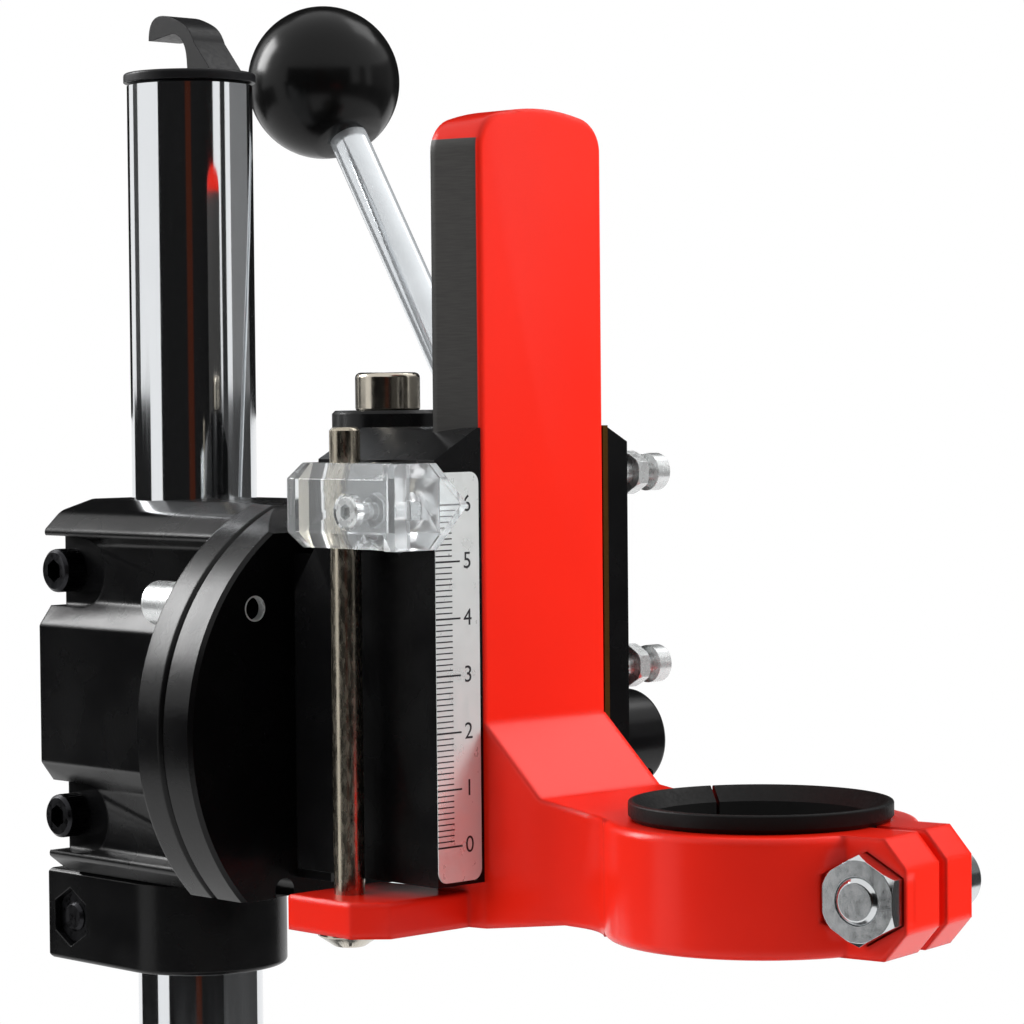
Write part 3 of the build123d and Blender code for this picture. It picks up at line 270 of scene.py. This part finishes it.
def smoothPiece(piece, angle, bevelWidth, segments=2):
    for polygon in piece.data.polygons:
        polygon.use_smooth = True
    piece.data.set_sharp_from_angle(angle=math.radians(angle))
    if bevelWidth > 0:
        bevel = piece.modifiers.new("edges", "BEVEL")
        bevel.width = bevelWidth
        bevel.segments = segments
        bevel.limit_method = "ANGLE"
        bevel.angle_limit = math.radians(angle)
        bevel.harden_normals = True
        bevel.use_clamp_overlap = True


dressed = {
    # node: (piece name, material, slot, edge radius in metres, smoothing angle)
    "base_plate": ("baseCasting", basePaint, "base_paint", 0.0006, 32),
    "column": ("columnTube", columnChrome, "column_chrome", 0, 32),
    "column_cap": ("columnCapHook", capPlastic, "black_plastic", 0.0003, 32),
    "support_collar": ("supportCollar", blackPaint, "black_paint", 0.0003, 28),
    "clamp_block": ("clampBlock", blockPaint, "black_paint", 0.00035, 24),
    "guide_housing": ("guideHousing", blackPaint, "black_paint", 0.0004, 24),
    "slide_casting": ("slideCasting", redPaint, "red_paint", 0.0006, 24),
    "reducing_sleeve": ("reducingSleeve", sleevePlastic, "black_plastic", 0.0002, 32),
    "ball_knob": ("ballKnob", knobPhenolic, "knob_plastic", 0.0002, 40),
    "lever_rod": ("leverRod", leverZinc, "zinc_steel", 0, 32),
    "lever_hub": ("leverHub", blackPaint, "black_paint", 0.0003, 32),
    "depth_rod": ("depthRod", rodNickel, "zinc_steel", 0, 32),
    "depth_rod_screw": ("depthRodScrew", screwNickel, "zinc_steel", 0.0002, 32),
    "top_screw": ("topScrew", screwNickel, "zinc_steel", 0.0006, 28),
    "neck_clamp_nut": ("neckClampNut", zincPlate, "zinc_steel", 0.0002, 24),
    "neck_clamp_bolt": ("neckClampBolt", zincPlate, "zinc_steel", 0.0002, 28),
    "pointer_clamp": ("pointerClamp", pointerClear, "clear_plastic", 0.0003, 28),
    "clamp_screws": ("clampScrews", blackOxide, "black_steel", 0.0001, 28),
    "gib_screws": ("gibScrews", satinZinc, "zinc_steel", 0.0001, 28),
    "gib_locknuts": ("gibLocknuts", satinZinc, "zinc_steel", 0.0001, 24),
    "index_pin": ("indexPin", satinZinc, "zinc_steel", 0.0001, 28),
    "pinion_bush": ("pinionBush", turnedSteel, "machined_steel", 0.0002, 32),
}
kept = {
    "base_set_screws": blackOxide, "support_collar_screw": blackOxide, "support_collar_nut": blackOxide,
    "tilt_pivot_bolt": blackOxide, "gib_strip": gibBrass, "scale_plate": scaleFoil, "feed_rack": turnedSteel,
    "rack_screws": blackOxide, "pointer_screw": satinZinc, "pointer_nut": satinZinc,
    "pinion_shaft": turnedSteel, "hub_set_screw": blackOxide,
}


def bodyOfNode(name):
    return nodes[name]["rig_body"]


def dressNode(name):
    pieceName, material, slot, edge, angle = dressed[name]
    bm = bmesh.new()
    bm.from_mesh(nodes[name].data)
    bmesh.ops.remove_doubles(bm, verts=bm.verts, dist=2e-6)
    bmesh.ops.dissolve_limit(bm, angle_limit=math.radians(0.5), verts=bm.verts, edges=bm.edges)
    piece = finishPiece(bm, pieceName, bodyOfNode(name), material)
    smoothPiece(piece, angle, edge)
    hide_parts(name)


for nodeName in dressed:
    dressNode(nodeName)
for nodeName, material in kept.items():
    slots = nodes[nodeName].data.materials
    slots.clear()
    slots.append(material)
print("nodes dressed:", len(dressed), "kept:", len(kept))


# the scale's marks and numerals, printed on the foil

scaleMarks = {
    "left": -0.0264, "face": -0.10021, "ink": 0.00003,
    "longTick": 0.0058, "longWidth": 0.00032, "shortTick": 0.0039, "shortWidth": 0.00022,
    "longest": 60, "numeralX": -0.01885, "numeralHeight": 0.003,
}


def addBar(bm, x, width, z, height, y, depth):
    made = bmesh.ops.create_cube(bm, size=1)
    bmesh.ops.scale(bm, verts=made["verts"], vec=(width, depth, height))
    bmesh.ops.translate(bm, verts=made["verts"], vec=(x + width / 2, y, z))


def makeScaleTicks(s):
    bm = bmesh.new()
    for step in range(s["longest"] + 1):
        kind = "short" if step % 10 else "long"
        height = markZero + step * 0.001
        addBar(bm, s["left"], s[kind + "Tick"], height, s[kind + "Width"], s["face"], s["ink"])
    finishPiece(bm, "scaleTicks", "guide", markInk)


def makeNumeral(value, s):
    curve = bpy.data.curves.new("numeral%d" % value, "FONT")
    curve.body = str(value)
    curve.size = s["numeralHeight"] * 1.38
    curve.align_x = "CENTER"
    curve.align_y = "CENTER"
    curve.extrude = s["ink"] / 2
    holder = bpy.data.objects.new("numeralCurve%d" % value, curve)
    bpy.context.scene.collection.objects.link(holder)
    bpy.context.view_layer.update()
    mesh = bpy.data.meshes.new_from_object(holder)
    bpy.data.objects.remove(holder)
    place = Matrix.Translation((s["numeralX"], s["face"], markZero + value * 0.01))
    mesh.transform(place @ Matrix.Rotation(math.radians(90), 4, "X"))
    piece = bpy.data.objects.new("scaleNumeral%d" % value, mesh)
    bpy.context.scene.collection.objects.link(piece)
    mesh.materials.clear()
    mesh.materials.append(markInk)
    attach(piece, "guide")


makeScaleTicks(scaleMarks)
for value in range(7):
    makeNumeral(value, scaleMarks)
print("scale printed")


# threads and knurled heads

def turned(bm, profile, axisPoint, axis, steps=48):
    # profile: points in the plane through the axis, spun into a closed skin
    made = [bm.verts.new(p) for p in profile]
    edges = [bm.edges.new(pair) for pair in zip(made, made[1:])]
    bmesh.ops.spin(bm, geom=made + edges, cent=axisPoint, axis=axis, angle=math.tau, steps=steps,
                   use_merge=True)


def makeThread(name, body, start, axis, length, radius, pitch, depth, material):
    # start is on the axis; the rings run along axis for length
    along = Vector(axis).normalized()
    side = along.orthogonal().normalized()
    start = Vector(start)
    profile = [start + side * (radius - depth) * 0.6]
    count = int(length / pitch)
    for index in range(count):
        low = start + along * (index * pitch)
        profile += [low + side * (radius - depth), low + along * pitch * 0.5 + side * radius]
    end = start + along * length
    profile += [end + side * (radius - depth), end + side * (radius - depth) * 0.6]
    bm = bmesh.new()
    turned(bm, profile, start, along)
    bmesh.ops.recalc_face_normals(bm, faces=bm.faces)
    piece = finishPiece(bm, name, body, material)
    smoothPiece(piece, 50, 0)


def makeKnurl(name, body, centre, axis, s, material):
    # a toothed band round a screw head, from centre along axis
    along = Vector(axis).normalized()
    bm = bmesh.new()
    bmesh.ops.create_circle(bm, segments=s["teeth"] * 2, radius=s["radius"])
    for index, vertex in enumerate(bm.verts):
        if index % 2:
            vertex.co *= s["valley"]
    made = bmesh.ops.extrude_edge_only(bm, edges=bm.edges)
    top = [v for v in made["geom"] if isinstance(v, bmesh.types.BMVert)]
    bmesh.ops.translate(bm, verts=top, vec=(0, 0, s["length"]))
    turn = Vector((0, 0, 1)).rotation_difference(along).to_matrix().to_4x4()
    bmesh.ops.transform(bm, matrix=Matrix.Translation(centre) @ turn, verts=bm.verts)
    bmesh.ops.recalc_face_normals(bm, faces=bm.faces)
    piece = finishPiece(bm, name, body, material)
    solid = piece.modifiers.new("wall", "SOLIDIFY")
    solid.thickness = s["radius"] * s["wall"]
    solid.offset = 0


threads = {
    "gibRadius": 0.00205, "gibPitch": 0.0007, "gibDepth": 0.0003, "gibY": -0.095,
    "gibHeights": (0.0285, 0.0644), "gibStart": 0.029, "gibLength": 0.0026,
}
for number, height in enumerate(threads["gibHeights"]):
    makeThread("gibThread%d" % number, "guide", (threads["gibStart"], threads["gibY"], markZero + height),
               (1, 0, 0), threads["gibLength"], threads["gibRadius"], threads["gibPitch"],
               threads["gibDepth"], satinZinc)

knurls = {
    "x": -0.0193, "y": 0.015, "middle": 0.0203, "spread": 0.0245,
    "radius": 0.00427, "length": 0.0038, "teeth": 40,
    "valley": 0.978, "wall": 0.03,  # shares of the radius
}
for number, height in enumerate((knurls["middle"] - knurls["spread"], knurls["middle"] + knurls["spread"])):
    centre = (knurls["x"], knurls["y"], markZero + height)
    makeKnurl("clampKnurl%d" % number, "clamp_head", centre, (-1, 0, 0), knurls, blackOxide)
print("threads and knurls made")


# a bright ring in the mouth of the index hole

indexRing = {
    "x": -0.0294, "height": 0.0403, "face": -0.05445,
    "inner": 0.00212, "outer": 0.00238, "deep": 0.0016,
}


def makeIndexRing(s):
    centre = Vector((s["x"], s["face"], markZero + s["height"]))
    out = Vector((1, 0, 0))
    back = Vector((0, s["deep"], 0))
    profile = [centre + out * s["inner"] + back, centre + out * s["inner"], centre + out * s["outer"],
               centre + out * s["outer"] + back]
    bm = bmesh.new()
    turned(bm, profile, centre, (0, 1, 0))
    bmesh.ops.recalc_face_normals(bm, faces=bm.faces)
    piece = finishPiece(bm, "indexRing", "guide", scaleFoil)
    smoothPiece(piece, 40, 0)


makeIndexRing(indexRing)


# studio: pale floor, soft lights and the camera

studio = {
    "floorRadius": 1.05, "floorColour": (0.78, 0.78, 0.78, 1), "ambient": 0.3,
    "glowNear": (0.3, 0.7), "glowRim": (0.98, 1.0),  # distance from the column and share of plain white
    "key": ((1.2, -1.05, 0.95), (0.9, 0.9), 38), "fill": ((-1.35, 0.3, 0.95), (0.7, 0.9), 8),
    "rear": ((-0.61, 1.25, 1.08), (0.6, 0.75), 21), "top": ((0.8, -0.04, 1.25), (0.5, 0.5), 1.5),
    "aim": (0, -0.07, 0.3), "seenInGloss": ("rear", "top"),
}


def raysThatSeeWhite(tree):
    # camera, glossy and transmission rays
    path = tree.nodes.new("ShaderNodeLightPath")
    seen = path.outputs["Is Camera Ray"]
    for other in ("Is Glossy Ray", "Is Transmission Ray"):
        larger = tree.nodes.new("ShaderNodeMath")
        larger.operation = "MAXIMUM"
        tree.links.new(seen, larger.inputs[0])
        tree.links.new(path.outputs[other], larger.inputs[1])
        seen = larger.outputs[0]
    return seen


def makeFloor(s):
    bm = bmesh.new()
    bmesh.ops.create_circle(bm, cap_ends=True, segments=96, radius=s["floorRadius"])
    mesh = bpy.data.meshes.new("studioFloor")
    bm.to_mesh(mesh)
    bm.free()
    floor = bpy.data.objects.new("studioFloor", mesh)
    bpy.context.scene.collection.objects.link(floor)
    material, tree, shader, coords = startMaterial("floorPaper")
    grain = addNoise(tree, coords, 300)
    addBump(tree, shader, grain.outputs["Fac"], 0.05, 0.0001)
    shader.inputs["Base Color"].default_value = s["floorColour"]
    shader.inputs["Roughness"].default_value = 0.8
    shader.inputs["Specular IOR Level"].default_value = 0.1
    glow = tree.nodes.new("ShaderNodeEmission")
    blend = tree.nodes.new("ShaderNodeMixShader")
    distance = tree.nodes.new("ShaderNodeVectorMath")
    distance.operation = "LENGTH"
    tree.links.new(coords.outputs["Object"], distance.inputs[0])
    share = tree.nodes.new("ShaderNodeMath")
    share.operation = "MULTIPLY"
    tree.links.new(addRamp(tree, distance.outputs["Value"], s["glowNear"], s["glowRim"]), share.inputs[0])
    tree.links.new(raysThatSeeWhite(tree), share.inputs[1])
    tree.links.new(share.outputs[0], blend.inputs[0])
    tree.links.new(shader.outputs["BSDF"], blend.inputs[1])
    tree.links.new(glow.outputs["Emission"], blend.inputs[2])
    tree.links.new(blend.outputs["Shader"], tree.nodes["Material Output"].inputs["Surface"])
    mesh.materials.append(material)


def makeLight(name, place, size, power, target):
    light = bpy.data.lights.new(name, "AREA")
    light.shape = "RECTANGLE"
    light.size, light.size_y = size
    light.energy = power
    lamp = bpy.data.objects.new(name, light)
    bpy.context.scene.collection.objects.link(lamp)
    lamp.location = place
    lamp.rotation_euler = (Vector(target) - Vector(place)).to_track_quat("-Z", "Y").to_euler()
    return lamp


def makeWorld(s):
    world = bpy.data.worlds.new("studioWorld")
    bpy.context.scene.world = world
    world.use_nodes = True
    tree = world.node_tree
    background = tree.nodes["Background"]
    strength = addRamp(tree, raysThatSeeWhite(tree), (0, s["ambient"]), (1, 1.0))
    background.inputs["Color"].default_value = (1, 1, 1, 1)
    tree.links.new(strength, background.inputs["Strength"])


cardSettings = {
    # upright dark cards, seen only in reflections: start and end in degrees, colour, bottom and top
    "cards": ((-189, -137, (0.008, 0.008, 0.008), -0.05, 0.72),
              # the red-brown card puts a painted reflection of the red slide on the column
              (-137, -127, (0.04, 0.011, 0.006), -0.05, 0.72),
              (-127, -86, (0.008, 0.008, 0.008), -0.05, 0.72), (-86, 0, (0.05, 0.05, 0.05), -0.05, 0.34),
              (-72, -62, (0.03, 0.03, 0.03), 0.34, 0.72), (-51, 0, (0.2, 0.2, 0.2), 0.34, 0.72),
              (-268, -214, (0.012, 0.012, 0.012), -0.05, 0.34), (-256, -240, (0.06, 0.06, 0.06), 0.34, 0.6),
              (0, 84, (0.01, 0.01, 0.01), 0.33, 1.5)),
    "radius": 0.95,
}


def makeCards(s):
    for number, (start, end, colour, bottom, top) in enumerate(s["cards"]):
        bm = bmesh.new()
        turn = Matrix.Rotation(math.radians(start), 4, "Z")
        ends = [bm.verts.new(turn @ Vector((s["radius"], 0, z))) for z in (bottom, top)]
        edge = bm.edges.new(ends)
        bmesh.ops.spin(bm, geom=ends + [edge], cent=(0, 0, 0), axis=(0, 0, 1),
                       angle=math.radians(end - start), steps=12)
        mesh = bpy.data.meshes.new("darkCard%d" % number)
        bm.to_mesh(mesh)
        bm.free()
        card = bpy.data.objects.new("darkCard%d" % number, mesh)
        bpy.context.scene.collection.objects.link(card)
        material, tree, shader, coords = startMaterial("cardCloth%d" % number)
        shader.inputs["Base Color"].default_value = colour + (1,)
        shader.inputs["Roughness"].default_value = 1.0
        shader.inputs["Specular IOR Level"].default_value = 0.0
        mesh.materials.append(material)
        card.visible_camera = False
        card.visible_diffuse = False
        card.visible_shadow = False
        card.visible_transmission = False


cameraView = {
    "place": (-0.4243, -0.5358, 0.0797 + markZero), "lens": 119.4,
    "right": (0.7226, -0.6912, -0.0093), "up": (0.0314, 0.0193, 0.9993), "forward": (0.6906, 0.7224, -0.0356),
}


def makeCamera(s):
    camera = bpy.data.cameras.new("photoCamera")
    camera.lens = s["lens"]
    camera.sensor_width = 36
    camera.clip_start = 0.01
    camera.clip_end = 50
    holder = bpy.data.objects.new("photoCamera", camera)
    bpy.context.scene.collection.objects.link(holder)
    turn = Matrix((s["right"], s["up"], -Vector(s["forward"]))).transposed().to_4x4()
    holder.matrix_world = Matrix.Translation(s["place"]) @ turn
    bpy.context.scene.camera = holder


makeFloor(studio)
makeWorld(studio)
makeCards(cardSettings)
for lightName in ("key", "fill", "rear", "top"):
    lamp = makeLight(lightName + "Light", *studio[lightName], studio["aim"])
    lamp.visible_glossy = lightName in studio["seenInGloss"]
    lamp.visible_camera = False
makeCamera(cameraView)
bpy.context.scene.view_settings.view_transform = "Standard"
print("studio set")
